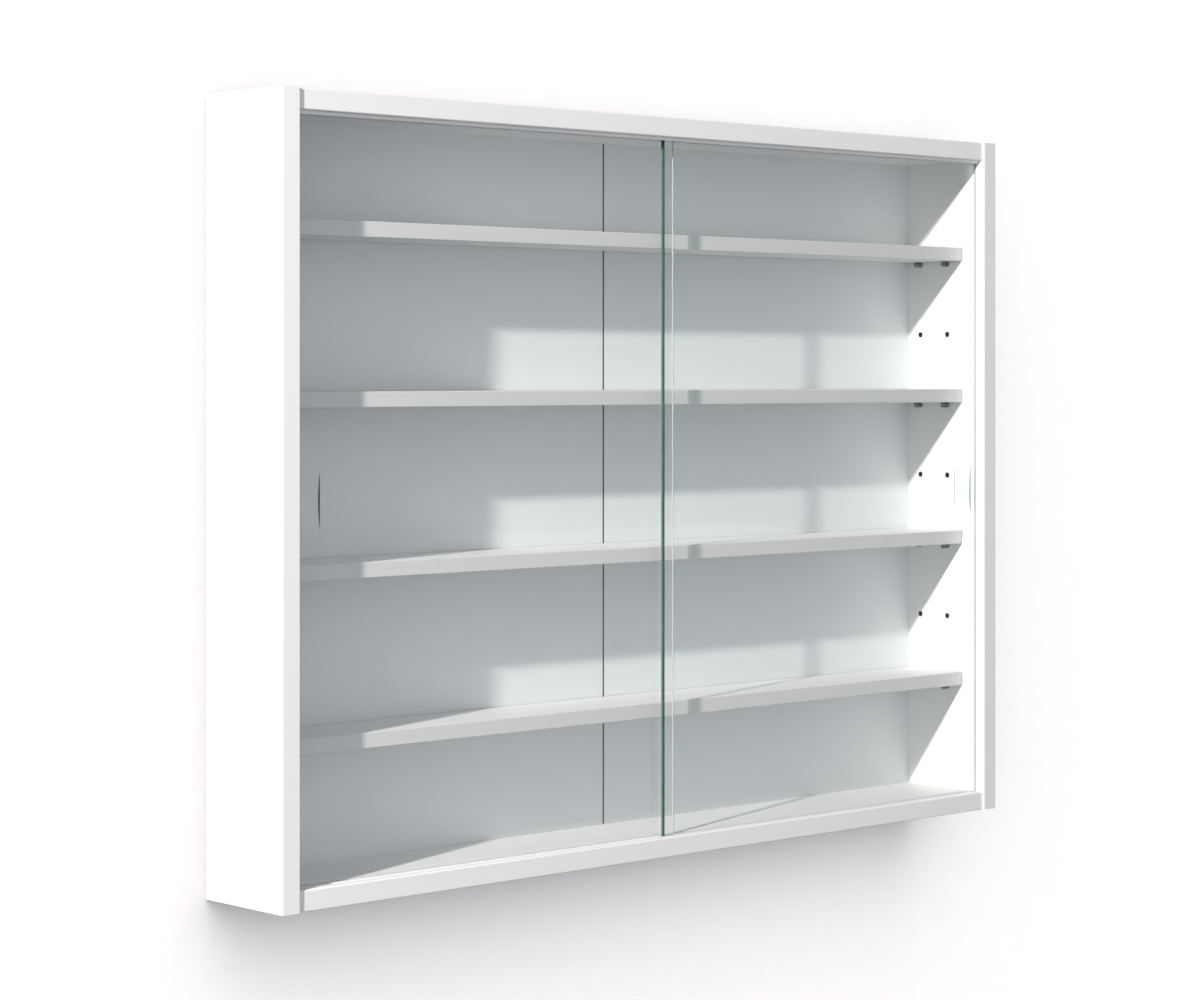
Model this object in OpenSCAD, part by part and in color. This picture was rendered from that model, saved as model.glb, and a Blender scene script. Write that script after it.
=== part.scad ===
// Wall mounted showcase: a shallow white cabinet with four adjustable shelves and
// two glass panes that slide past each other in front of them.
// X runs to the right, Y runs back to the wall and Z up. The origin lies on the wall
// plane, at the middle of the cabinet's bottom edge. Millimetres.

/* [Cabinet] */
// Width over both sides
width = 800; // [620:10:1000]
// Height of the sides
height = 600; // [560:10:800]
// Depth from the front edges of the sides to the wall
depth = 95; // [90:1:140]
// Thickness of the sides, the top and the bottom
board = 16; // [16:1:19]
// Setback of the top's and the bottom's front edges behind the sides' front edges
front_setback = 2; // [1:0.5:3]
// Thickness of the hardboard back
back_thickness = 3; // [3:0.5:4]
// Open joint between the two halves of the back
back_joint = 1.5; // [1:0.5:3]

/* [Edging] */
// Thickness of the edging on the sides and the shelves
edging = 1; // [0.8:0.1:1]
// Thickness of the edging on the top and the bottom
lip_edging = 2; // [1.5:0.1:2]
// Radius of the edging's outer corners
edging_radius = 0.7; // [0.5:0.1:0.7]
// Radius of the top's and the bottom's edging where it faces the doors
lip_radius = 1.4; // [1:0.1:1.4]

/* [Glass doors] */
// Thickness of the glass
glass = 4; // [3:0.5:4]
// Overlap of the two panes when the showcase is closed
pane_overlap = 15; // [10:1:40]
// Gap between a closed pane and the side that it stops at
end_gap = 0.5; // [0.3:0.1:2]
// Ground bevel along the edges of the panes
arris = 0.4; // [0.3:0.1:0.6]
// Width of the groove ground in each pane as a finger pull
pull_width = 22; // [14:1:26]
// Height of the finger pull
pull_height = 44; // [36:1:60]
// Depth of the finger pull
pull_depth = 2; // [1:0.1:2]
// Distance from the pane's outer edge to its finger pull
pull_inset = 7; // [5:1:30]
// Height of the left pane's finger pull above the cabinet's bottom
left_pull_z = 298; // [200:1:350]
// Height of the right pane's finger pull above the cabinet's bottom
right_pull_z = 290; // [200:1:350]

/* [Tracks] */
// Wall thickness of the plastic tracks
track_wall = 1; // [0.8:0.1:1.2]
// Side play of a pane in its channel
channel_play = 1; // [0.6:0.1:1.2]
// Distance from the sides' front edges to the tracks
track_setback = 7.8; // [7:0.2:9]
// Depth of the groove that holds the top track
top_groove = 9; // [8:0.5:10]
// How far the top track hangs below the top
top_track_drop = 2.3; // [1:0.1:3]
// Depth of the groove that holds the bottom track
bottom_groove = 4.5; // [4:0.5:6]

/* [Shelves] */
// Thickness of a shelf
shelf_thickness = 12; // [10:1:16]
// Depth of a shelf
shelf_depth = 64; // [58:1:66]
// Gap between a shelf and each side
shelf_gap = 1; // [0.5:0.5:2]
// Height of the lowest row of pin holes
first_row = 108; // [90:1:120]
// Distance between two rows of pin holes
row_pitch = 64; // [60:1:66]
// Distance between the front and the rear holes of a row
column_pitch = 32; // [28:1:34]
// Distance from the back to the rear holes
rear_column = 14.5; // [12:0.5:16]
// Diameter of the pin holes
pin_hole = 5; // [5:0.5:6]
// Depth of the pin holes
pin_hole_depth = 10; // [8:1:12]
// Length of a shelf pin that stands out of the side
pin_reach = 7; // [5:1:9]

/* [Fittings] */
// Diameter of a cam housing
cam_diameter = 15; // [12:1:15]
// Height of a cam housing
cam_height = 12.5; // [11:0.5:12.5]
// Distance from the end of a board to the cam's centre
cam_distance = 24; // [24:1:34]
// Diameter of the wooden dowels
dowel = 8; // [6:1:8]
// Length of the wooden dowels
dowel_length = 30; // [25:1:32]
// Height of the hanger plates' screw-head holes above the cabinet's bottom
hanger_z = 545; // [500:1:550]
// Diameter of the hole that a wall screw's head goes into
head_hole = 8; // [7:0.5:8]
// Width of the slot that the wall screw's shank slides up
shank_slot = 4.4; // [3.6:0.2:4.4]
// Nails along the top and along the bottom edge of each half of the back
nails_per_rail = 4; // [3:1:6]
// Nails along each side
nails_per_side = 4; // [3:1:6]

/* [Hidden] */

$fn = 48;
skip = 1; // how far a cutting shape runs past the surface that it opens
fit = 0.05; // play all round between two fitted pieces
butt_joint = 0.02; // hairline between two strips of edging that meet end to end

// Main planes
inner_x = width / 2 - board; // inner face of the right side
front_y = -depth;
back_y = -back_thickness; // front face of the back
lip_y = front_y + front_setback; // front face of the top and the bottom
ceiling_z = height - board;
inner_width = 2 * inner_x;

// Tracks, counted from the sides' front edges
channel = glass + channel_play;
track_width = 2 * channel + 3 * track_wall;
track_y = front_y + track_setback;
top_track_z = ceiling_z - top_track_drop;
top_track_height = top_track_drop + top_groove;
bottom_track_z = board - bottom_groove;

// Panes
pane_width = (inner_width + pane_overlap) / 2 - end_gap;
pane_bottom = bottom_track_z + track_wall + 0.1;
pane_engagement = 4.3; // how far the top of a pane stands in the top track
pane_height = top_track_z + pane_engagement - pane_bottom;
front_pane_y = track_y + track_wall + channel_play / 2;
rear_pane_y = front_pane_y + channel + track_wall;
pull_wheel = (pow(pull_height / 2, 2) + pow(pull_depth, 2)) / (2 * pull_depth);

// Shelves and their pins
pin = pin_hole - 2 * fit;
pin_fillet = 0.6;
rows = 7;
shelf_width = inner_width - 2 * shelf_gap;
shelf_y = back_y - 0.5 - shelf_depth;
column_y = [back_y - rear_column - column_pitch, back_y - rear_column];

// Corner fittings
cam_y = -38;
dowel_y = [-62, -14];
cap_thickness = 1;
bolt_thread = 5;
bolt_thread_length = 11;
bolt_shank = 6;
bolt_neck = 4;
bolt_head = 6.6;
bolt_bore = 8;
dowel_in_side = 10;
cam_slot_height = 9;
cam_recess = [7, 1.6, 3]; // length, width and depth of one arm of the cross recess

// Hanger plates on the rear edges of the sides, sunk in windows of the back
plate = [12, 44, 1.5]; // width, height and thickness
plate_z = hanger_z - 16;
slot_rise = 8; // from the head hole up to the slot's top end
plate_hole_z = [plate_z + 5, plate_z + plate[1] - 5];
pocket = 10;
pocket_depth = 8;
plate_screw = 3;
plate_screw_head = 5.6;
plate_screw_length = 16;
window_play = 0.4;

// Back fixings
tape = [30, 0.3]; // width and thickness
nail = 1.6;
nail_length = 20;
nail_head = 3.2;
nail_head_thickness = 0.5;
nail_edge = board / 2;

// What a corner loses when it is rounded to radius r about the origin
module corner_waste(r) {
    difference() {
        square(r + skip);
        circle(r);
    }
}

// A rectangle with its two far corners rounded, for a strip of edging
module edging_profile(w, t, r_near, r_far) {
    difference() {
        square([w, t]);
        translate([r_near, t - r_near]) mirror([1, 0]) corner_waste(r_near);
        translate([w - r_far, t - r_far]) corner_waste(r_far);
    }
}

// A rectangle with all four corners cut off by c
module bevelled(w, t, c) {
    polygon([[c, 0], [w - c, 0], [w, c], [w, t - c], [w - c, t], [c, t], [0, t - c], [0, c]]);
}

// Extrudes a profile drawn in Y and Z along X, centred on the cabinet
module along_x(length) {
    translate([-length / 2, 0, 0]) rotate([90, 0, 90]) linear_extrude(length) children();
}

// The children at both ends of the cabinet, the right ones mirrored
module both_ends() {
    children();
    mirror([1, 0, 0]) children();
}

// The children at the bottom and, turned over, at the top
module bottom_and_top() {
    children();
    translate([0, 0, height]) mirror([0, 0, 1]) children();
}

// A rod along +X from x0 to x1 at y, z
module rod(x0, x1, y, z, d) {
    translate([x0, y, z]) rotate([0, 90, 0]) cylinder(d = d, h = x1 - x0);
}

// A rod along +Y from y0 to y1 at x, z
module rod_y(x, y0, y1, z, d) {
    translate([x, y1, z]) rotate([90, 0, 0]) cylinder(d = d, h = y1 - y0);
}

// ---- Carcass ----

// Left side without its edging, drilled for pins, fittings and the hanger's pocket
module left_side_board() {
    difference() {
        translate([-width / 2, front_y + edging, edging])
            cube([board, depth - edging - back_thickness, height - 2 * edging]);
        for (row = [0 : rows - 1], y = column_y)
            rod(-inner_x - pin_hole_depth, -inner_x + skip, y, first_row + row * row_pitch, pin_hole);
        bottom_and_top() {
            rod(-inner_x - bolt_thread_length, -inner_x + skip, cam_y, board / 2, bolt_thread);
            for (y = dowel_y)
                rod(-inner_x - dowel_in_side - skip, -inner_x + skip, y, board / 2, dowel);
        }
        hanger_pocket();
    }
}

// Room behind the hanger plate for the wall screw's head
module hanger_pocket() {
    x = -inner_x - board / 2;
    rod_y(x, back_y - pocket_depth, back_y + skip, hanger_z, pocket);
    rod_y(x, back_y - pocket_depth, back_y + skip, hanger_z + slot_rise, pocket);
    translate([x - pocket / 2, back_y - pocket_depth, hanger_z])
        cube([pocket, pocket_depth + skip, slot_rise]);
}

module left_side() color("whitesmoke") left_side_board();

module right_side() color("whitesmoke") mirror([1, 0, 0]) left_side_board();

// Edging on a side's front edge and on its two ends
module side_edging() {
    translate([-width / 2, front_y + edging, 0]) mirror([0, 1, 0]) linear_extrude(height)
        edging_profile(board, edging, edging_radius, edging_radius);
    for (z = [0, height - edging])
        translate([-width / 2, front_y + edging + butt_joint, z])
            cube([board, back_y - front_y - edging - butt_joint, edging]);
}

module left_side_edging() color("white") side_edging();

module right_side_edging() color("white") mirror([1, 0, 0]) side_edging();

// Board of the top or the bottom, drawn as the bottom: groove depth on its inner face
module rail_board(groove) {
    difference() {
        translate([-inner_x, lip_y + lip_edging, 0])
            cube([inner_width, back_y - lip_y - lip_edging, board]);
        translate([-inner_x - skip, track_y - fit, board - groove])
            cube([inner_width + 2 * skip, track_width + 2 * fit, groove + skip]);
        both_ends() {
            translate([-inner_x + cam_distance, cam_y, -skip])
                cylinder(d = cam_diameter + 2 * fit, h = cam_height + cap_thickness + skip);
            rod(-inner_x - skip, -inner_x + cam_distance, cam_y, board / 2, bolt_bore);
            for (y = dowel_y)
                rod(-inner_x - skip, -inner_x + dowel_length - dowel_in_side + skip, y, board / 2, dowel);
        }
    }
}

// Front edging of the top or the bottom, drawn as the bottom
module rail_edging() {
    translate([0, lip_y + lip_edging, 0]) along_x(inner_width)
        rotate(90) edging_profile(board, lip_edging, edging_radius, lip_radius);
}

module bottom_panel() color("whitesmoke") rail_board(bottom_groove);

module bottom_panel_edging() color("white") rail_edging();

module top_panel() color("whitesmoke")
    translate([0, 0, height]) mirror([0, 0, 1]) rail_board(top_groove);

module top_panel_edging() color("white")
    translate([0, 0, height]) mirror([0, 0, 1]) rail_edging();

// ---- Back ----

// Places of the nails in the left half of the back: along the bottom, the top and the side
function nail_places() = concat(
    [for (i = [0 : nails_per_rail - 1], z = [nail_edge, height - nail_edge])
        [-inner_x + 60 + i * (inner_x - 90) / (nails_per_rail - 1), z]],
    [for (i = [0 : nails_per_side - 1])
        [-width / 2 + nail_edge, 60 + i * (plate_z - 120) / (nails_per_side - 1)]]);

// Left half of the back, with a window for the hanger plate and holes for the nails
module back_half() {
    difference() {
        translate([-width / 2, back_y, 0]) cube([width / 2 - back_joint / 2, back_thickness, height]);
        translate([-inner_x - board / 2 - plate[0] / 2 - window_play, back_y - skip, plate_z - window_play])
            cube([plate[0] + 2 * window_play, back_thickness + 2 * skip, plate[1] + 2 * window_play]);
        translate([-tape[0] / 2, -tape[1], -skip]) cube([tape[0], tape[1] + skip, height + 2 * skip]);
        for (p = nail_places()) {
            rod_y(p[0], back_y - skip, skip, p[1], nail + 2 * fit);
            rod_y(p[0], -nail_head_thickness - 2 * fit, skip, p[1], nail_head + 2 * fit);
        }
    }
}

module back_left() color("gainsboro") back_half();

module back_right() color("gainsboro") mirror([1, 0, 0]) back_half();

// Self-adhesive strip along the back of the joint, on which the back folds for packing
module back_hinge_tape() color("silver")
    translate([-tape[0] / 2, -tape[1], 0]) cube([tape[0], tape[1], height]);

module back_nails() color("gray") both_ends()
    for (p = nail_places()) {
        rod_y(p[0], -nail_length, -2 * fit, p[1], nail);
        rod_y(p[0], -nail_head_thickness - fit, -fit, p[1], nail_head);
    }

// ---- Tracks ----

// Section of a twin track in Y and Z, open upwards
module track_profile(h) {
    difference() {
        square([track_width, h]);
        for (i = [0, 1])
            translate([track_wall + i * (channel + track_wall), track_wall]) square([channel, h]);
    }
}

module top_track() color("white")
    translate([0, track_y, top_track_z + top_track_height]) mirror([0, 0, 1])
        along_x(inner_width) track_profile(top_track_height);

module bottom_track() color("white")
    translate([0, track_y, bottom_track_z]) along_x(inner_width) track_profile(bottom_groove);

// ---- Glass doors ----

// Pane with ground edges and a groove that a flat grinding wheel has cut beside its left edge
module pane(pull_z) {
    difference() {
        intersection() {
            linear_extrude(pane_height) bevelled(pane_width, glass, arris);
            rotate([90, 0, 90]) linear_extrude(pane_width) bevelled(glass, pane_height, arris);
        }
        rod(pull_inset, pull_inset + pull_width,
            pull_depth - pull_wheel, pull_z - pane_bottom, 2 * pull_wheel);
    }
}

module left_door_glass() color("darkseagreen", 0.4)
    translate([-inner_x + end_gap, rear_pane_y, pane_bottom]) pane(left_pull_z);

module right_door_glass() color("darkseagreen", 0.4) mirror([1, 0, 0])
    translate([-inner_x + end_gap, front_pane_y, pane_bottom]) pane(right_pull_z);

// ---- Shelves, counted from the bottom ----

function pin_z(n) = first_row + 2 * (n - 1) * row_pitch;

module shelf(n) color("whitesmoke")
    translate([-shelf_width / 2, shelf_y + edging, pin_z(n) + pin / 2])
        cube([shelf_width, shelf_depth - edging, shelf_thickness]);

module shelf_edging(n) color("white")
    translate([0, shelf_y + edging, pin_z(n) + pin / 2]) along_x(shelf_width)
        rotate(90) edging_profile(shelf_thickness, edging, edging_radius, edging_radius);

// One pin along +X, in a hole of the left side, its ends slightly rounded
module shelf_pin() {
    long = pin_hole_depth - 1 + pin_reach;
    translate([-pin_hole_depth + 1, 0, 0]) rotate([0, 90, 0]) {
        cylinder(d1 = pin - 2 * pin_fillet, d2 = pin, h = pin_fillet);
        translate([0, 0, pin_fillet]) cylinder(d = pin, h = long - 2 * pin_fillet);
        translate([0, 0, long - pin_fillet]) cylinder(d1 = pin, d2 = pin - 2 * pin_fillet, h = pin_fillet);
    }
}

module shelf_pins(n) color("silver") both_ends()
    for (y = column_y)
        translate([-inner_x, y, pin_z(n)]) shelf_pin();

// ---- Corner fittings ----

// Bolt screwed into the left side, its head held by the cam
module cam_bolt() {
    rod(-inner_x - bolt_thread_length + 0.5, -inner_x, cam_y, board / 2, bolt_thread - 2 * fit);
    rod(-inner_x, -inner_x + cam_distance - 8, cam_y, board / 2, bolt_shank);
    rod(-inner_x + cam_distance - 8, -inner_x + cam_distance - 1, cam_y, board / 2, bolt_neck);
    rod(-inner_x + cam_distance - 1, -inner_x + cam_distance + 1.5, cam_y, board / 2, bolt_head);
}

module cam_bolts() color("darkgray") bottom_and_top() both_ends() cam_bolt();

// Round housing with a slot for the bolt's head and a cross recess for the screwdriver
module cam_housing() {
    difference() {
        translate([-inner_x + cam_distance, cam_y, cap_thickness])
            cylinder(d = cam_diameter, h = cam_height);
        translate([-inner_x, cam_y - bolt_head / 2 - 0.5, board / 2 - cam_slot_height / 2])
            cube([cam_distance + 4, bolt_head + 1, cam_slot_height]);
        for (a = [0, 90])
            translate([-inner_x + cam_distance, cam_y, cap_thickness]) rotate(a)
                cube([cam_recess[0], cam_recess[1], 2 * cam_recess[2]], center = true);
    }
}

module cam_housings() color("darkgray") bottom_and_top() both_ends() cam_housing();

module cam_caps() color("white") bottom_and_top() both_ends()
    translate([-inner_x + cam_distance, cam_y, 0]) cylinder(d = cam_diameter, h = cap_thickness - fit);

module dowels() color("burlywood") bottom_and_top() both_ends()
    for (y = dowel_y)
        rod(-inner_x - dowel_in_side, -inner_x + dowel_length - dowel_in_side,
            y, board / 2, dowel - 2 * fit);

// ---- Hangers ----

// Flat plate with a keyhole for the wall screw and two countersunk holes
module hanger_plate() {
    x = -inner_x - board / 2;
    difference() {
        translate([x - plate[0] / 2, back_y, plate_z]) cube([plate[0], plate[2], plate[1]]);
        rod_y(x, back_y - skip, skip, hanger_z, head_hole);
        rod_y(x, back_y - skip, skip, hanger_z + slot_rise, shank_slot);
        translate([x - shank_slot / 2, back_y - skip, hanger_z]) cube([shank_slot, 4, slot_rise]);
        for (z = plate_hole_z)
            translate([x, back_y + plate[2], z]) rotate([90, 0, 0]) {
                translate([0, 0, -skip]) cylinder(d = plate_screw + 2 * fit, h = plate[2] + 2 * skip);
                cylinder(d1 = plate_screw_head + 2 * fit, d2 = plate_screw + 2 * fit, h = plate[2]);
            }
    }
}

module hanger_plate_left() color("silver") hanger_plate();

module hanger_plate_right() color("silver") mirror([1, 0, 0]) hanger_plate();

// Countersunk screw that holds a hanger plate, driven into the side's rear edge
module plate_screw() {
    rotate([90, 0, 0]) {
        difference() {
            cylinder(d1 = plate_screw_head, d2 = plate_screw, h = plate[2]);
            for (a = [0, 90])
                rotate(a) cube([3, 0.7, 2], center = true);
        }
        translate([0, 0, plate[2]]) cylinder(d = plate_screw, h = plate_screw_length - plate[2] - 3);
        translate([0, 0, plate_screw_length - 3]) cylinder(d1 = plate_screw, d2 = 0.6, h = 3);
    }
}

module hanger_screws() color("silver") both_ends()
    for (z = plate_hole_z)
        translate([-inner_x - board / 2, back_y + plate[2] - fit, z]) plate_screw();

left_side();
right_side();
left_side_edging();
right_side_edging();
top_panel();
top_panel_edging();
bottom_panel();
bottom_panel_edging();
back_left();
back_right();
back_hinge_tape();
top_track();
bottom_track();
left_door_glass();
right_door_glass();
shelf(1);  // shelf_1
shelf(2);  // shelf_2
shelf(3);  // shelf_3
shelf(4);  // shelf_4
shelf_edging(1);  // shelf_1_edging
shelf_edging(2);  // shelf_2_edging
shelf_edging(3);  // shelf_3_edging
shelf_edging(4);  // shelf_4_edging
shelf_pins(1);  // shelf_1_pins
shelf_pins(2);  // shelf_2_pins
shelf_pins(3);  // shelf_3_pins
shelf_pins(4);  // shelf_4_pins
cam_bolts();
cam_housings();
cam_caps();
dowels();
back_nails();
hanger_plate_left();
hanger_plate_right();
hanger_screws();
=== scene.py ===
# %% [markdown]
# # A wall mounted showcase with sliding glass doors
#
# The real piece is a shallow white cabinet for a collector's small things: melamine-faced boards
# with plastic edging, a hardboard back in two halves, four shelves on metal pins, and two panes of
# float glass that slide past each other in plastic tracks. Its exact shape comes from the packed
# model, so nothing here moves or reshapes it. These cells set up the camera, give each piece the
# finish of its real material, and light it.

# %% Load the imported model
import math

import bpy
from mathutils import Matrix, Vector


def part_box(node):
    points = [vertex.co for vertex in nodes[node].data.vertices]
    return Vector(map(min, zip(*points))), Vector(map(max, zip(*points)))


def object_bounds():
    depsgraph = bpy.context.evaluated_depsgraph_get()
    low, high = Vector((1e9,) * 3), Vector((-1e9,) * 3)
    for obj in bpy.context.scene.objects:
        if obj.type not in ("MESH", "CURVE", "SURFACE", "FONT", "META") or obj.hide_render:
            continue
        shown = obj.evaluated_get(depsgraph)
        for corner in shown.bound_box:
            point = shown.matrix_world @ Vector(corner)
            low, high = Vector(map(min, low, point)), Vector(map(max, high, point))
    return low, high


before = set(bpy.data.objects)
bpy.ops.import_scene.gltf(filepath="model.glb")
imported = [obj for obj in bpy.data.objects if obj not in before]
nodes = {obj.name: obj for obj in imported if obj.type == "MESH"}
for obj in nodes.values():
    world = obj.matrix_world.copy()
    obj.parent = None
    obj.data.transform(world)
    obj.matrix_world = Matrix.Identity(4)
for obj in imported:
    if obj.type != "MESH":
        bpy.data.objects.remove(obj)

cad_low, cad_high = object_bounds()
scene = bpy.context.scene
MM = 0.001
centre = (cad_low + cad_high) / 2
print("cabinet, mm:", [round(side / MM, 1) for side in cad_high - cad_low])

# %% [markdown]
# ## Camera
#
# The camera stands left of the cabinet, level and a little above its middle. A level camera keeps
# every upright edge upright. Tilting it down to frame the cabinet would make the sides lean, so the
# lens is shifted instead, as on an architect's camera. A long lens keeps the far side from looking
# much smaller than the near one.

# %% Make the camera
EYE = Vector((-1.7076, -1.8423, 0.3896))
TURN = math.radians(42.84)
camera_data = bpy.data.cameras.new("studio_camera")
camera_data.sensor_width = 36
camera_data.lens = 90.15
camera_data.shift_y = -0.1028
camera_data.clip_start = 0.05
camera_data.clip_end = 60
camera = bpy.data.objects.new("studio_camera", camera_data)
camera.location = EYE
camera.rotation_euler = (math.radians(90), 0, -TURN)
scene.collection.objects.link(camera)
scene.camera = camera
print("camera to cabinet, m:", round((EYE - centre).length, 2))

# %% [markdown]
# ## Helpers
#
# Colours are given as sRGB hex values, but the renderer adds up light, so it wants linear values.
# One function turns the first into the second. The other adds a shader node, gives it its settings,
# and fills or links its inputs. Every material below is built from it.

# %% Colour and node helpers
def linear(hex_colour):
    """Linear red, green, blue and alpha of an sRGB colour such as #F2F3F2."""
    channels = []
    for start in (1, 3, 5):
        value = int(hex_colour[start : start + 2], 16) / 255
        channels.append(value / 12.92 if value <= 0.04045 else ((value + 0.055) / 1.055) ** 2.4)
    return (*channels, 1.0)


def add_node(tree, kind, inputs=None, **settings):
    """Adds a node. An input given as another node's output is linked, and any other is set."""
    node = tree.nodes.new(kind)
    for name, value in settings.items():
        setattr(node, name, value)
    for name, value in (inputs or {}).items():
        if isinstance(value, bpy.types.NodeSocket):
            tree.links.new(value, node.inputs[name])
        else:
            node.inputs[name].default_value = value
    return node


def start_material(name):
    """A material with an empty node tree, and where a point of the surface lies, in metres."""
    material = bpy.data.materials.new(name)
    material.use_nodes = True
    tree = material.node_tree
    tree.nodes.clear()
    return material, tree, add_node(tree, "ShaderNodeTexCoord").outputs["Object"]


def give(material, *names):
    """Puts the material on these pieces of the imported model."""
    for name in names:
        nodes[name].data.materials.clear()
        nodes[name].data.materials.append(material)
    print(material.name, "->", ", ".join(names))


# ShaderNodeMix keeps its colour inputs and its colour result under these numbers.
FACTOR, COLOUR_A, COLOUR_B, COLOUR = 0, 6, 7, 2
print("mid grey as light:", round(linear("#808080")[0], 3))

# %% [markdown]
# ## Melamine-faced chipboard
#
# The sides, the top, the bottom and the shelves are chipboard with paper soaked in melamine resin
# pressed on both faces. The press plate leaves a fine pearl texture that breaks up reflections, so
# the white looks satin and not glossy. Where the board is cut or drilled, the brown chips show, but
# painted much darker than real chipboard, as painted shade deep in the drilled holes. A picture of
# board could give this, but a procedural pattern stays sharp and has no seams. The pearl is about
# 0.5 mm on real board. It is drawn at 1.2 mm, because a finer one would vanish.

# %% Melamine-faced board
PEARL = 1.2 * MM
CLOUD = 110 * MM
CHIP = 3.0 * MM
FACE_ON = 0.7  # a surface faces an axis if its normal reaches this far along it
SKIN = 7.5 * MM  # from a 16 mm board's middle plane to just under its faces
side_low, side_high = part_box("right_side")


def melamine_faced_board(name, thickness_axis, middle=None):
    """White melamine on the two faces across thickness_axis, and chipboard darkened by painted
    shade on the cut ones.

    Boards that mirror each other about the origin may give middle, the distance of their middle
    plane, so that the bottom of a drilled hole isn't taken for a face."""
    material, tree, place = start_material(name)
    pearl = add_node(
        tree, "ShaderNodeTexNoise", {"Vector": place, "Scale": 1 / PEARL, "Detail": 2.0}
    )
    cloud = add_node(
        tree, "ShaderNodeTexNoise", {"Vector": place, "Scale": 1 / CLOUD, "Detail": 3.0}
    )
    white = add_node(
        tree, "ShaderNodeMix",
        {FACTOR: cloud.outputs[0], COLOUR_A: linear("#E6E8E7"), COLOUR_B: linear("#EDEEED")},
        data_type="RGBA",
    )
    chips = add_node(tree, "ShaderNodeTexVoronoi", {"Vector": place, "Scale": 1 / CHIP})
    chip_tone = add_node(tree, "ShaderNodeSeparateColor", {"Color": chips.outputs["Color"]})
    # painted shade: the chips are far darker than real chipboard, so that the drilled holes look
    # deep and dark
    shaded_core = add_node(
        tree, "ShaderNodeMix",
        {FACTOR: chip_tone.outputs[0], COLOUR_A: linear("#2B2119"), COLOUR_B: linear("#54432F")},
        data_type="RGBA",
    )
    geometry = add_node(tree, "ShaderNodeNewGeometry")
    facing = add_node(tree, "ShaderNodeSeparateXYZ", {0: geometry.outputs["True Normal"]})
    across = add_node(
        tree, "ShaderNodeMath", {0: facing.outputs[thickness_axis]}, operation="ABSOLUTE"
    )
    is_cut = add_node(
        tree, "ShaderNodeMath", {0: across.outputs[0], 1: FACE_ON}, operation="LESS_THAN"
    )
    if middle:
        spot = add_node(tree, "ShaderNodeSeparateXYZ", {0: place})
        off = add_node(
            tree, "ShaderNodeMath", {0: spot.outputs[thickness_axis]}, operation="ABSOLUTE"
        )
        is_inside = add_node(
            tree, "ShaderNodeMath", {0: off.outputs[0], 1: middle, 2: SKIN}, operation="COMPARE"
        )
        is_cut = add_node(
            tree, "ShaderNodeMath",
            {0: is_cut.outputs[0], 1: is_inside.outputs[0]},
            operation="MAXIMUM",
        )
    colour = add_node(
        tree, "ShaderNodeMix",
        {
            FACTOR: is_cut.outputs[0],
            COLOUR_A: white.outputs[COLOUR],
            COLOUR_B: shaded_core.outputs[COLOUR],
        },
        data_type="RGBA",
    )
    sheen = add_node(
        tree, "ShaderNodeMapRange", {"Value": pearl.outputs[0], "To Min": 0.36, "To Max": 0.50}
    )
    relief = add_node(
        tree, "ShaderNodeBump",
        {"Height": pearl.outputs[0], "Strength": 0.25, "Distance": 0.05 * MM},
    )
    shader = add_node(
        tree, "ShaderNodeBsdfPrincipled",
        {
            "Base Color": colour.outputs[COLOUR],
            "Roughness": sheen.outputs[0],
            "IOR": 1.5,
            "Normal": relief.outputs[0],
        },
    )
    add_node(tree, "ShaderNodeOutputMaterial", {"Surface": shader.outputs[0]})
    return material


middle = (side_low.x + side_high.x) / 2
give(melamine_faced_board("melamine_faced_sides", "X", middle), "left_side", "right_side")
shelves = [f"shelf_{number}" for number in range(1, 5)]
give(melamine_faced_board("melamine_faced_boards", "Z"), "top_panel", "bottom_panel", *shelves)

# %% [markdown]
# ## ABS edging
#
# The cut edges are covered with strips of ABS, a tough plastic, glued on hot, trimmed flush and
# rounded with a scraper. The scraper leaves faint marks along the strip and a slightly higher gloss
# than the board's. Noise stretched along the strip's length draws them. Upright and level strips
# need their own stretch, so one function takes the direction.

# %% ABS edging
MARK_WIDTH = 0.7 * MM
MARK_LENGTH = 60 * MM


def abs_edging(name, along):
    """Scraped ABS edging that runs along axis 0, 1 or 2."""
    material, tree, place = start_material(name)
    stretch = [1 / MARK_WIDTH] * 3
    stretch[along] = 1 / MARK_LENGTH
    stretched = add_node(tree, "ShaderNodeVectorMath", {0: place, 1: stretch}, operation="MULTIPLY")
    marks = add_node(
        tree, "ShaderNodeTexNoise", {"Vector": stretched.outputs[0], "Scale": 1.0, "Detail": 2.0}
    )
    colour = add_node(
        tree, "ShaderNodeMix",
        {FACTOR: marks.outputs[0], COLOUR_A: linear("#D7D8D7"), COLOUR_B: linear("#DDDEDD")},
        data_type="RGBA",
    )
    gloss = add_node(
        tree, "ShaderNodeMapRange", {"Value": marks.outputs[0], "To Min": 0.26, "To Max": 0.38}
    )
    relief = add_node(
        tree, "ShaderNodeBump", {"Height": marks.outputs[0], "Strength": 0.2, "Distance": 0.03 * MM}
    )
    shader = add_node(
        tree, "ShaderNodeBsdfPrincipled",
        {
            "Base Color": colour.outputs[COLOUR],
            "Roughness": gloss.outputs[0],
            "IOR": 1.54,
            "Normal": relief.outputs[0],
        },
    )
    add_node(tree, "ShaderNodeOutputMaterial", {"Surface": shader.outputs[0]})
    return material


give(abs_edging("upright_abs_edging", 2), "left_side_edging", "right_side_edging")
give(
    abs_edging("level_abs_edging", 0),
    "top_panel_edging", "bottom_panel_edging", *[f"{shelf}_edging" for shelf in shelves],
)
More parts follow.
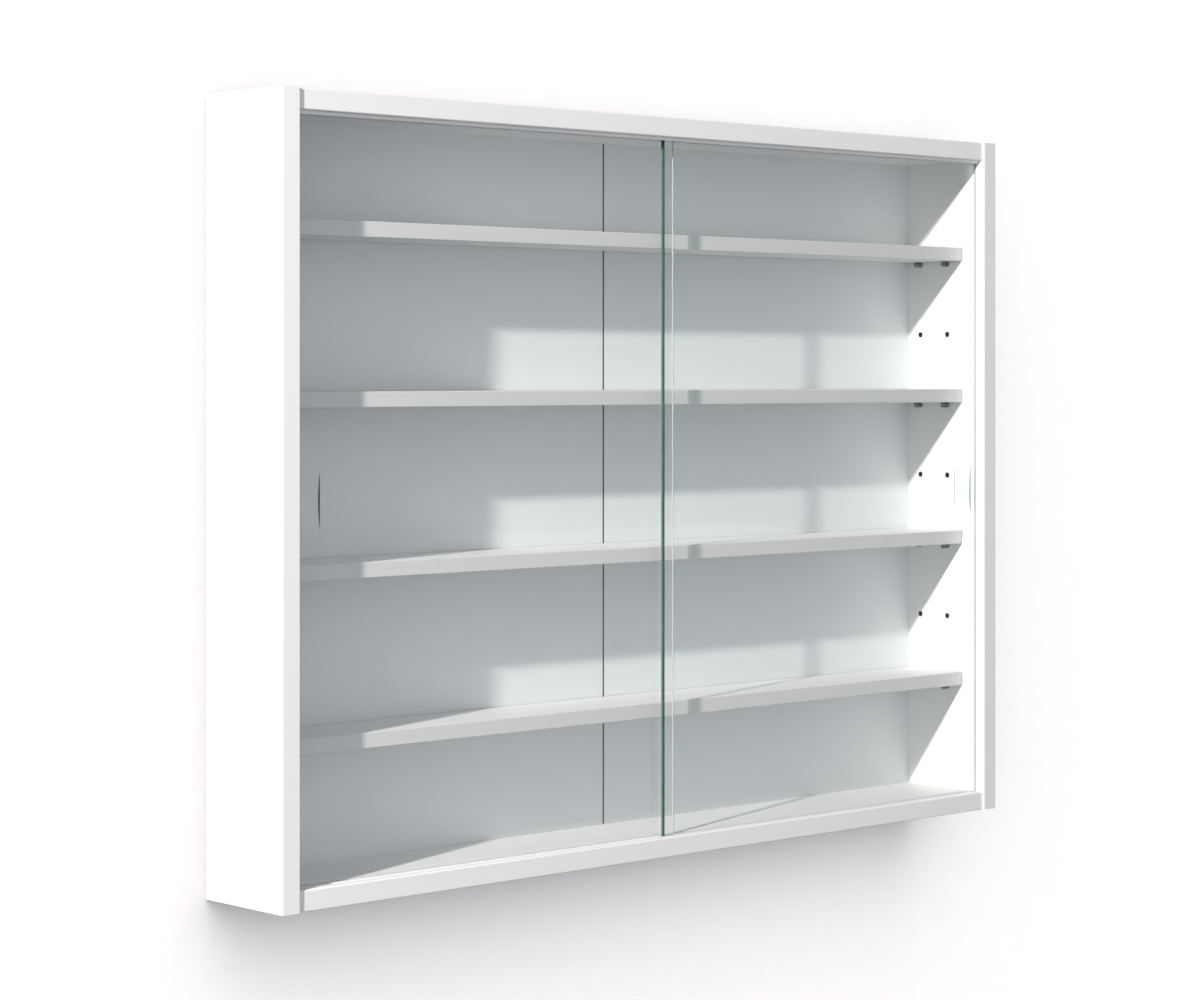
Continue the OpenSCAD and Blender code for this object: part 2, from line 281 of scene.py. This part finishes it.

# %% [markdown]
# ## Lacquered hardboard
#
# The back is 3 mm hardboard: wood fibres pressed hot into a thin dense sheet. The face towards the
# shelves is rolled with white lacquer, which comes out a little cooler and glossier than the
# boards. The face towards the wall stays raw and brown, with fine fibres lying in all directions.
# The lacquer runs over the outer edges, and the sawn edges of the middle joint are painted near
# black, darker than the raw fibre, as painted shade for the narrow joint. One material does all
# three and tells them apart by the way the surface faces and where it is.

# %% Hardboard
FIBRE = 2.2 * MM
RIPPLE = 4 * MM
LACQUER_CLOUD = 160 * MM
SAWN_REACH = 1 * MM  # how far from the middle plane the joint's sawn edges may lie


def lacquered_hardboard():
    """Raw fibre on the rear face, painted shade on the joint's sawn edges, and white lacquer
    elsewhere.
    """
    material, tree, place = start_material("lacquered_hardboard")
    ripple = add_node(
        tree, "ShaderNodeTexNoise", {"Vector": place, "Scale": 1 / RIPPLE, "Detail": 2.0}
    )
    cloud = add_node(
        tree, "ShaderNodeTexNoise", {"Vector": place, "Scale": 1 / LACQUER_CLOUD, "Detail": 2.0}
    )
    white = add_node(
        tree, "ShaderNodeMix",
        {FACTOR: cloud.outputs[0], COLOUR_A: linear("#DDE1E3"), COLOUR_B: linear("#E4E7E9")},
        data_type="RGBA",
    )
    fibres = add_node(
        tree, "ShaderNodeTexNoise",
        {"Vector": place, "Scale": 1 / FIBRE, "Detail": 6.0, "Roughness": 0.7, "Distortion": 1.6},
    )
    raw = add_node(
        tree, "ShaderNodeMix",
        {FACTOR: fibres.outputs[0], COLOUR_A: linear("#6E4E31"), COLOUR_B: linear("#B08B60")},
        data_type="RGBA",
    )
    geometry = add_node(tree, "ShaderNodeNewGeometry")
    facing = add_node(tree, "ShaderNodeSeparateXYZ", {0: geometry.outputs["True Normal"]})
    is_front = add_node(
        tree, "ShaderNodeMath", {0: facing.outputs["Y"], 1: FACE_ON}, operation="LESS_THAN"
    )
    faces = add_node(
        tree, "ShaderNodeMix",
        {
            FACTOR: is_front.outputs[0],
            COLOUR_A: raw.outputs[COLOUR],
            COLOUR_B: white.outputs[COLOUR],
        },
        data_type="RGBA",
    )
    spot = add_node(tree, "ShaderNodeSeparateXYZ", {0: place})
    near_joint = add_node(
        tree, "ShaderNodeMath", {0: spot.outputs["X"], 1: 0.0, 2: SAWN_REACH}, operation="COMPARE"
    )
    sideways = add_node(tree, "ShaderNodeMath", {0: facing.outputs["X"]}, operation="ABSOLUTE")
    # painted shade: the joint's sawn edges are near black, darker than the raw fibre, for the
    # shaded gap
    is_shaded_joint = add_node(
        tree, "ShaderNodeMath",
        {0: near_joint.outputs[0], 1: sideways.outputs[0]},
        operation="MULTIPLY",
    )
    colour = add_node(
        tree, "ShaderNodeMix",
        {FACTOR: is_shaded_joint.outputs[0], COLOUR_A: faces.outputs[COLOUR], COLOUR_B: linear("#2A2420")},
        data_type="RGBA",
    )
    gloss = add_node(
        tree, "ShaderNodeMapRange", {"Value": is_front.outputs[0], "To Min": 0.75, "To Max": 0.36}
    )
    relief = add_node(
        tree, "ShaderNodeBump",
        {"Height": ripple.outputs[0], "Strength": 0.15, "Distance": 0.05 * MM},
    )
    shader = add_node(
        tree, "ShaderNodeBsdfPrincipled",
        {
            "Base Color": colour.outputs[COLOUR],
            "Roughness": gloss.outputs[0],
            "IOR": 1.5,
            "Normal": relief.outputs[0],
        },
    )
    add_node(tree, "ShaderNodeOutputMaterial", {"Surface": shader.outputs[0]})
    return material


give(lacquered_hardboard(), "back_left", "back_right")

# %% [markdown]
# ## Paper tape
#
# A strip of white paper tape joins the two halves behind, so that the back can fold flat in its
# carton. It is matte and slightly creped across its width. Its glued face, which shows as a thin
# line through the joint, is painted dark as painted shade for the narrow joint.

# %% Paper tape
CREPE = 1.0 * MM
CREASE_LENGTH = 12 * MM


def creped_paper_tape():
    """Matte white tape with fine level creases, and painted shade on its glued face."""
    material, tree, place = start_material("creped_paper_tape")
    stretched = add_node(
        tree, "ShaderNodeVectorMath", {0: place, 1: (1 / CREASE_LENGTH, 1 / CREPE, 1 / CREPE)},
        operation="MULTIPLY",
    )
    creases = add_node(
        tree, "ShaderNodeTexNoise", {"Vector": stretched.outputs[0], "Scale": 1.0, "Detail": 3.0}
    )
    colour = add_node(
        tree, "ShaderNodeMix",
        {FACTOR: creases.outputs[0], COLOUR_A: linear("#DEDCD4"), COLOUR_B: linear("#F0EFEA")},
        data_type="RGBA",
    )
    geometry = add_node(tree, "ShaderNodeNewGeometry")
    facing = add_node(tree, "ShaderNodeSeparateXYZ", {0: geometry.outputs["True Normal"]})
    # painted shade: the glued face, seen through the narrow joint, is painted dark
    is_shaded_glue_face = add_node(
        tree, "ShaderNodeMath", {0: facing.outputs["Y"], 1: -FACE_ON}, operation="LESS_THAN"
    )
    both_faces = add_node(
        tree, "ShaderNodeMix",
        {FACTOR: is_shaded_glue_face.outputs[0], COLOUR_A: colour.outputs[COLOUR], COLOUR_B: linear("#3F3A36")},
        data_type="RGBA",
    )
    relief = add_node(
        tree, "ShaderNodeBump",
        {"Height": creases.outputs[0], "Strength": 0.6, "Distance": 0.1 * MM},
    )
    shader = add_node(
        tree, "ShaderNodeBsdfPrincipled",
        {
            "Base Color": both_faces.outputs[COLOUR],
            "Roughness": 0.85,
            "IOR": 1.45,
            "Normal": relief.outputs[0],
        },
    )
    add_node(tree, "ShaderNodeOutputMaterial", {"Surface": shader.outputs[0]})
    return material


give(creped_paper_tape(), "back_hinge_tape")

# %% [markdown]
# ## Extruded PVC
#
# The twin tracks are PVC pushed through a die and cut to length. The die draws hair-fine lines
# along them, and the panes rub the channels slightly dull, so the plastic is less glossy than the
# edging.

# %% PVC tracks
DIE_LINE = 0.5 * MM
LINE_LENGTH = 200 * MM


def extruded_pvc():
    """White PVC with lines along the cabinet's width."""
    material, tree, place = start_material("extruded_pvc")
    stretched = add_node(
        tree, "ShaderNodeVectorMath", {0: place, 1: (1 / LINE_LENGTH, 1 / DIE_LINE, 1 / DIE_LINE)},
        operation="MULTIPLY",
    )
    lines = add_node(
        tree, "ShaderNodeTexNoise", {"Vector": stretched.outputs[0], "Scale": 1.0, "Detail": 1.0}
    )
    colour = add_node(
        tree, "ShaderNodeMix",
        {FACTOR: lines.outputs[0], COLOUR_A: linear("#E9E8EA"), COLOUR_B: linear("#F3F2F4")},
        data_type="RGBA",
    )
    relief = add_node(
        tree, "ShaderNodeBump", {"Height": lines.outputs[0], "Strength": 0.3, "Distance": 0.03 * MM}
    )
    shader = add_node(
        tree, "ShaderNodeBsdfPrincipled",
        {
            "Base Color": colour.outputs[COLOUR],
            "Roughness": 0.42,
            "IOR": 1.53,
            "Normal": relief.outputs[0],
        },
    )
    add_node(tree, "ShaderNodeOutputMaterial", {"Surface": shader.outputs[0]})
    return material


give(extruded_pvc(), "top_track", "bottom_track")

# %% [markdown]
# ## Float glass
#
# The panes are 4 mm float glass. Face on it is nearly clear, but the iron in it makes it green
# along a long path, so the ground edges look dark green: light that enters there bounces inside the
# whole width of the pane. Following those dozens of bounces would be slow and noisy, so the edge
# gets its own dark green shader, darker towards the front. Each pane's right-hand edge and the
# right pane's groove pick up the white of the lit right side and are paler. Lamp light and
# scattered light would need luck to find their way through bending glass, so for such rays the pane
# is simply see-through. It then takes out about a quarter of the light, which is more than real
# float glass does.

# %% Float glass
STREAK = 9 * MM
STREAK_SPREAD = 0.35
STREAK_SHIFT = -0.17  # about half the spread, so that streaks come out both darker and lighter
EDGE_ON = 0.4  # a surface is an edge if its normal reaches less far than this along Y


def float_glass(pane, pale_from, pale):
    """Clear faces that bend light, and ground edges, for the pane of that name.

    The edges are dark green, but to the right of pale_from, in metres, they have the pale
    colour."""
    material, tree, place = start_material(f"{pane}_float")
    low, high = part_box(pane)
    clear = add_node(
        tree, "ShaderNodeBsdfPrincipled",
        {
            "Base Color": linear("#FEFEFE"),
            "Roughness": 0.0,
            "IOR": 1.52,
            "Transmission Weight": 1.0,
        },
    )
    spot = add_node(tree, "ShaderNodeSeparateXYZ", {0: place})
    through = add_node(
        tree, "ShaderNodeMapRange",
        {"Value": spot.outputs["Y"], "From Min": low.y, "From Max": high.y},
    )
    streaks = add_node(
        tree, "ShaderNodeTexNoise", {"Vector": place, "Scale": 1 / STREAK, "Detail": 2.0}
    )
    depth = add_node(
        tree, "ShaderNodeMath",
        {0: streaks.outputs[0], 1: STREAK_SPREAD, 2: STREAK_SHIFT},
        operation="MULTIPLY_ADD",
    )
    shade = add_node(
        tree, "ShaderNodeMath", {0: through.outputs[0], 1: depth.outputs[0]},
        operation="ADD", use_clamp=True,
    )
    green = add_node(
        tree, "ShaderNodeMix",
        {FACTOR: shade.outputs[0], COLOUR_A: linear("#10201C"), COLOUR_B: linear("#4F7A6C")},
        data_type="RGBA",
    )
    geometry = add_node(tree, "ShaderNodeNewGeometry")
    facing = add_node(tree, "ShaderNodeSeparateXYZ", {0: geometry.outputs["True Normal"]})
    is_pale = add_node(
        tree, "ShaderNodeMath", {0: spot.outputs["X"], 1: pale_from}, operation="GREATER_THAN"
    )
    edge_colour = add_node(
        tree, "ShaderNodeMix",
        {FACTOR: is_pale.outputs[0], COLOUR_A: green.outputs[COLOUR], COLOUR_B: linear(pale)},
        data_type="RGBA",
    )
    edge = add_node(
        tree, "ShaderNodeBsdfPrincipled",
        {
            "Base Color": edge_colour.outputs[COLOUR],
            "Roughness": 0.35,
            "IOR": 1.52,
            "Specular IOR Level": 0.3,
        },
    )
    across = add_node(tree, "ShaderNodeMath", {0: facing.outputs["Y"]}, operation="ABSOLUTE")
    is_edge = add_node(
        tree, "ShaderNodeMath", {0: across.outputs[0], 1: EDGE_ON}, operation="LESS_THAN"
    )
    pane_glass = add_node(
        tree, "ShaderNodeMixShader",
        {0: is_edge.outputs[0], 1: clear.outputs[0], 2: edge.outputs[0]},
    )
    open_way = add_node(tree, "ShaderNodeBsdfTransparent", {"Color": linear("#F0F2F2")})
    shut_way = add_node(tree, "ShaderNodeBsdfTransparent", {"Color": linear("#5E7F74")})
    way = add_node(
        tree, "ShaderNodeMixShader",
        {0: is_edge.outputs[0], 1: open_way.outputs[0], 2: shut_way.outputs[0]},
    )
    ray = add_node(tree, "ShaderNodeLightPath")
    passes = add_node(
        tree, "ShaderNodeMath",
        {0: ray.outputs["Is Shadow Ray"], 1: ray.outputs["Is Diffuse Ray"]}, operation="MAXIMUM",
    )
    shader = add_node(
        tree, "ShaderNodeMixShader",
        {0: passes.outputs[0], 1: pane_glass.outputs[0], 2: way.outputs[0]},
    )
    add_node(tree, "ShaderNodeOutputMaterial", {"Surface": shader.outputs[0]})
    return material


give(float_glass("left_door_glass", pale_from=0.0, pale="#BECBC9"), "left_door_glass")
give(float_glass("right_door_glass", pale_from=0.2, pale="#8FA09D"), "right_door_glass")

# %% [markdown]
# ## Metal fittings
#
# The shelf pins are nickel-plated steel and smooth, and their colour is painted darker than real
# nickel, as painted shade for the dark shelf undersides that they mirror. The screws, nails, bolts
# and hanger plates are zinc-plated, cooler and cloudy where the bath left it uneven. The corner
# fittings' housings are die-cast zinc, duller and slightly pitted. All three are a metal with a
# cloudy roughness, so one function makes them from their own colours and grain.

# %% Metals
def metal_finish(name, dark, light, smoothest, roughest, grain):
    """A metal whose tone and roughness vary over patches of size grain, in metres."""
    material, tree, place = start_material(name)
    patches = add_node(
        tree, "ShaderNodeTexNoise", {"Vector": place, "Scale": 1 / grain, "Detail": 3.0}
    )
    colour = add_node(
        tree, "ShaderNodeMix",
        {FACTOR: patches.outputs[0], COLOUR_A: linear(dark), COLOUR_B: linear(light)},
        data_type="RGBA",
    )
    gloss = add_node(
        tree, "ShaderNodeMapRange",
        {"Value": patches.outputs[0], "To Min": smoothest, "To Max": roughest},
    )
    relief = add_node(
        tree, "ShaderNodeBump",
        {"Height": patches.outputs[0], "Strength": 0.3, "Distance": 0.02 * MM},
    )
    shader = add_node(
        tree, "ShaderNodeBsdfPrincipled",
        {
            "Base Color": colour.outputs[COLOUR],
            "Metallic": 1.0,
            "Roughness": gloss.outputs[0],
            "Normal": relief.outputs[0],
        },
    )
    add_node(tree, "ShaderNodeOutputMaterial", {"Surface": shader.outputs[0]})
    return material


# painted shade: the pins' colours are darker than real nickel, as under the shelves
give(
    metal_finish("nickel_plated_steel", "#5C5C5B", "#97958F", 0.08, 0.18, 2 * MM),
    *[f"{shelf}_pins" for shelf in shelves],
)
give(
    metal_finish("zinc_plated_steel", "#A4AAB0", "#CDD1D4", 0.24, 0.42, 3 * MM),
    "cam_bolts", "back_nails", "hanger_screws", "hanger_plate_left", "hanger_plate_right",
)
give(metal_finish("die_cast_zinc", "#85888B", "#A9ACAF", 0.38, 0.60, 1.5 * MM), "cam_housings")

# %% [markdown]
# ## Beech dowels and plastic caps
#
# The dowels that place the boards are beech, pale pink-brown with short dark flecks along the
# grain. The caps over the corner fittings are moulded plastic with a finely spark-eroded face.

# %% Beech
FLECK_LENGTH = 6 * MM
FLECK_WIDTH = 0.8 * MM


def turned_beech():
    """Beech with its grain along the dowels, which lie along X."""
    material, tree, place = start_material("turned_beech")
    stretched = add_node(
        tree, "ShaderNodeVectorMath",
        {0: place, 1: (1 / FLECK_LENGTH, 1 / FLECK_WIDTH, 1 / FLECK_WIDTH)},
        operation="MULTIPLY",
    )
    grain = add_node(
        tree, "ShaderNodeTexNoise", {"Vector": stretched.outputs[0], "Scale": 1.0, "Detail": 4.0}
    )
    colour = add_node(
        tree, "ShaderNodeMix",
        {FACTOR: grain.outputs[0], COLOUR_A: linear("#A67F57"), COLOUR_B: linear("#DDBE94")},
        data_type="RGBA",
    )
    relief = add_node(
        tree, "ShaderNodeBump", {"Height": grain.outputs[0], "Strength": 0.4, "Distance": 0.1 * MM}
    )
    shader = add_node(
        tree, "ShaderNodeBsdfPrincipled",
        {"Base Color": colour.outputs[COLOUR], "Roughness": 0.6, "Normal": relief.outputs[0]},
    )
    add_node(tree, "ShaderNodeOutputMaterial", {"Surface": shader.outputs[0]})
    return material


give(turned_beech(), "dowels")

# %% Plastic caps
ERODED_GRAIN = 0.4 * MM


def moulded_polyethylene():
    """White cap plastic with a fine eroded grain."""
    material, tree, place = start_material("moulded_polyethylene")
    grain = add_node(
        tree, "ShaderNodeTexNoise", {"Vector": place, "Scale": 1 / ERODED_GRAIN, "Detail": 2.0}
    )
    colour = add_node(
        tree, "ShaderNodeMix",
        {FACTOR: grain.outputs[0], COLOUR_A: linear("#E6E7E6"), COLOUR_B: linear("#F1F2F1")},
        data_type="RGBA",
    )
    relief = add_node(
        tree, "ShaderNodeBump", {"Height": grain.outputs[0], "Strength": 0.4, "Distance": 0.03 * MM}
    )
    shader = add_node(
        tree, "ShaderNodeBsdfPrincipled",
        {
            "Base Color": colour.outputs[COLOUR],
            "Roughness": 0.5,
            "IOR": 1.51,
            "Normal": relief.outputs[0],
        },
    )
    add_node(tree, "ShaderNodeOutputMaterial", {"Surface": shader.outputs[0]})
    return material


give(moulded_polyethylene(), "cam_caps")

# %% [markdown]
# ## Floor and backdrop
#
# The cabinet hangs on a pale studio wall above a pale floor. The wall catches the soft shadow that
# shows the cabinet's white sides against it. Seen from behind it would hide the cabinet, so its
# rear face lets everything through, and it throws no shadow and no light on the back.

# %% Build the stage
FLOOR_Z = -0.35
WALL_GAP = 0.5 * MM
WALL_TOP = 5
STAGE_REACH = 9
ROLLER = 20 * MM


def studio_plane(name, corners):
    """A flat stage piece through four corners."""
    mesh = bpy.data.meshes.new(name)
    mesh.from_pydata(corners, [], [(0, 1, 2, 3)])
    plane = bpy.data.objects.new(name, mesh)
    scene.collection.objects.link(plane)
    return plane


def studio_paint(name, one_sided):
    """Matte paint with a faint roller texture, mid grey but lit so strongly that it looks white."""
    material, tree, place = start_material(name)
    roller = add_node(
        tree, "ShaderNodeTexNoise", {"Vector": place, "Scale": 1 / ROLLER, "Detail": 2.0}
    )
    colour = add_node(
        tree, "ShaderNodeMix",
        {FACTOR: roller.outputs[0], COLOUR_A: linear("#888688"), COLOUR_B: linear("#8B898B")},
        data_type="RGBA",
    )
    paint = add_node(
        tree, "ShaderNodeBsdfPrincipled",
        {"Base Color": colour.outputs[COLOUR], "Roughness": 0.9, "Specular IOR Level": 0.0},
    )
    surface = paint
    if one_sided:
        clear = add_node(tree, "ShaderNodeBsdfTransparent")
        behind = add_node(tree, "ShaderNodeNewGeometry").outputs["Backfacing"]
        surface = add_node(
            tree, "ShaderNodeMixShader", {0: behind, 1: paint.outputs[0], 2: clear.outputs[0]}
        )
    add_node(tree, "ShaderNodeOutputMaterial", {"Surface": surface.outputs[0]})
    return material


floor = studio_plane(
    "studio_floor",
    [
        (-STAGE_REACH, -STAGE_REACH, FLOOR_Z),
        (STAGE_REACH, -STAGE_REACH, FLOOR_Z),
        (STAGE_REACH, STAGE_REACH, FLOOR_Z),
        (-STAGE_REACH, STAGE_REACH, FLOOR_Z),
    ],
)
wall = studio_plane(
    "studio_wall",
    [
        (-STAGE_REACH, WALL_GAP, FLOOR_Z),
        (STAGE_REACH, WALL_GAP, FLOOR_Z),
        (STAGE_REACH, WALL_GAP, WALL_TOP),
        (-STAGE_REACH, WALL_GAP, WALL_TOP),
    ],
)
floor.data.materials.append(studio_paint("studio_floor_paint", False))
wall.data.materials.append(studio_paint("studio_wall_paint", True))
for plane in (floor, wall):
    plane.visible_diffuse = False
    plane.visible_glossy = False
    plane.visible_shadow = False
print("wall faces:", tuple(round(part) for part in wall.data.polygons[0].normal))

# %% [markdown]
# ## Light
#
# Four kinds of light do the work. A key light from the left, about 3.3 m away, draws the shadows of
# the side, the shelves and the glass edges. It is a small ball and not a distant sun: the lower a
# shelf is, the longer its shadow, and the near end of the cabinet comes out brighter than the far
# one. A weak, broad reflector on the right keeps the far side from going dark. It is hidden from
# mirror reflections, because its round edge would draw a line across the panes. A soft sky fills
# the shadows, slightly blue. The stage has a broad lamp of its own, by light linking, so that the
# wall's shadow stays soft and the key light's long shadow doesn't cross it.

# %% Place the lamps
KEY_PLACE = Vector((-2.97, -0.985, 1.465))
KEY_RADIUS = 45 * MM
KEY_WATTS = 780
STAGE_DIRECTION = Vector((0.5, 1.0, -0.6))
STAGE_STRENGTH = 14.6
STAGE_SPREAD = math.radians(100)
FROM_RIGHT = Vector((-1.0, 0.35, -0.35))
REFLECTOR_STRENGTH = 0.62
REFLECTOR_SPREAD = math.radians(70)
DOWN = Vector((0, 0, -1))  # a ball shines all ways, so any direction does


def lamp(name, kind, direction, strength, colour, lights_stage, **settings):
    """A lamp that shines along direction, on the stage only or on everything else only."""
    data = bpy.data.lights.new(name, kind)
    data.energy = strength
    data.color = linear(colour)[:3]
    for setting, value in settings.items():
        setattr(data, setting, value)
    body = bpy.data.objects.new(name, data)
    body.rotation_mode = "QUATERNION"
    body.rotation_quaternion = direction.to_track_quat("-Z", "Y")
    scene.collection.objects.link(body)
    lit = bpy.data.collections.new(f"{name}_receivers")
    for plane in (floor, wall):
        lit.objects.link(plane)
    for member in lit.collection_objects:
        member.light_linking.link_state = "INCLUDE" if lights_stage else "EXCLUDE"
    body.light_linking.receiver_collection = lit
    return body


key = lamp("key_light", "POINT", DOWN, KEY_WATTS, "#FFF8F2", False, shadow_soft_size=KEY_RADIUS)
key.location = KEY_PLACE
lamp("stage_light", "SUN", STAGE_DIRECTION, STAGE_STRENGTH, "#FFFFFF", True, angle=STAGE_SPREAD)
reflector = lamp(
    "reflector", "SUN", FROM_RIGHT, REFLECTOR_STRENGTH, "#FBFCFF", False, angle=REFLECTOR_SPREAD
)
reflector.visible_glossy = False
reflector.visible_transmission = False  # the pane's inner face mirrors it as well
print("key light to cabinet, m:", round((KEY_PLACE - centre).length, 2))

# %% [markdown]
# ## Sky
#
# The sky gives the soft fill. It is brightest in front of the cabinet and a little to its left, as
# from a tall window there. It is as bright again on the opposite side, so that the raw back and its
# fittings can be seen. The closed back keeps that second half out of the shelves. Everywhere else
# it is dimmer. What the camera sees of it directly is plain white, as a studio's overexposed
# background is, and the surfaces get a dimmer, slightly blue version.

# %% Make the sky
WINDOW = Vector((-0.3, -0.93, 0.1)).normalized()
NARROWING = 3.0  # the higher this power is, the narrower the bright part
PEAK = 1.0  # what the bright part adds at its middle
BASE = 0.165  # what comes from everywhere
LAYERS = 24  # see-through faces that one ray may cross
sky = bpy.data.worlds.new("studio_sky")
sky.use_nodes = True
sky.node_tree.nodes.clear()
looking = add_node(sky.node_tree, "ShaderNodeTexCoord").outputs["Generated"]
towards = add_node(
    sky.node_tree, "ShaderNodeVectorMath", {0: looking, 1: WINDOW}, operation="DOT_PRODUCT"
)
share = add_node(
    sky.node_tree, "ShaderNodeMath", {0: towards.outputs["Value"]}, operation="ABSOLUTE"
)
lobe = add_node(
    sky.node_tree, "ShaderNodeMath", {0: share.outputs[0], 1: NARROWING}, operation="POWER"
)
level = add_node(
    sky.node_tree, "ShaderNodeMath",
    {0: lobe.outputs[0], 1: PEAK, 2: BASE}, operation="MULTIPLY_ADD",
)
fill = add_node(
    sky.node_tree, "ShaderNodeBackground",
    {"Color": linear("#F8FAFF"), "Strength": level.outputs[0]},
)
seen = add_node(sky.node_tree, "ShaderNodeBackground", {"Color": (1, 1, 1, 1), "Strength": 1.0})
ray = add_node(sky.node_tree, "ShaderNodeLightPath")
both = add_node(
    sky.node_tree, "ShaderNodeMixShader",
    {0: ray.outputs["Is Camera Ray"], 1: fill.outputs[0], 2: seen.outputs[0]},
)
add_node(sky.node_tree, "ShaderNodeOutputWorld", {"Surface": both.outputs[0]})
scene.world = sky
scene.view_settings.view_transform = "Standard"
scene.cycles.transparent_max_bounces = LAYERS
print("view transform:", scene.view_settings.view_transform)
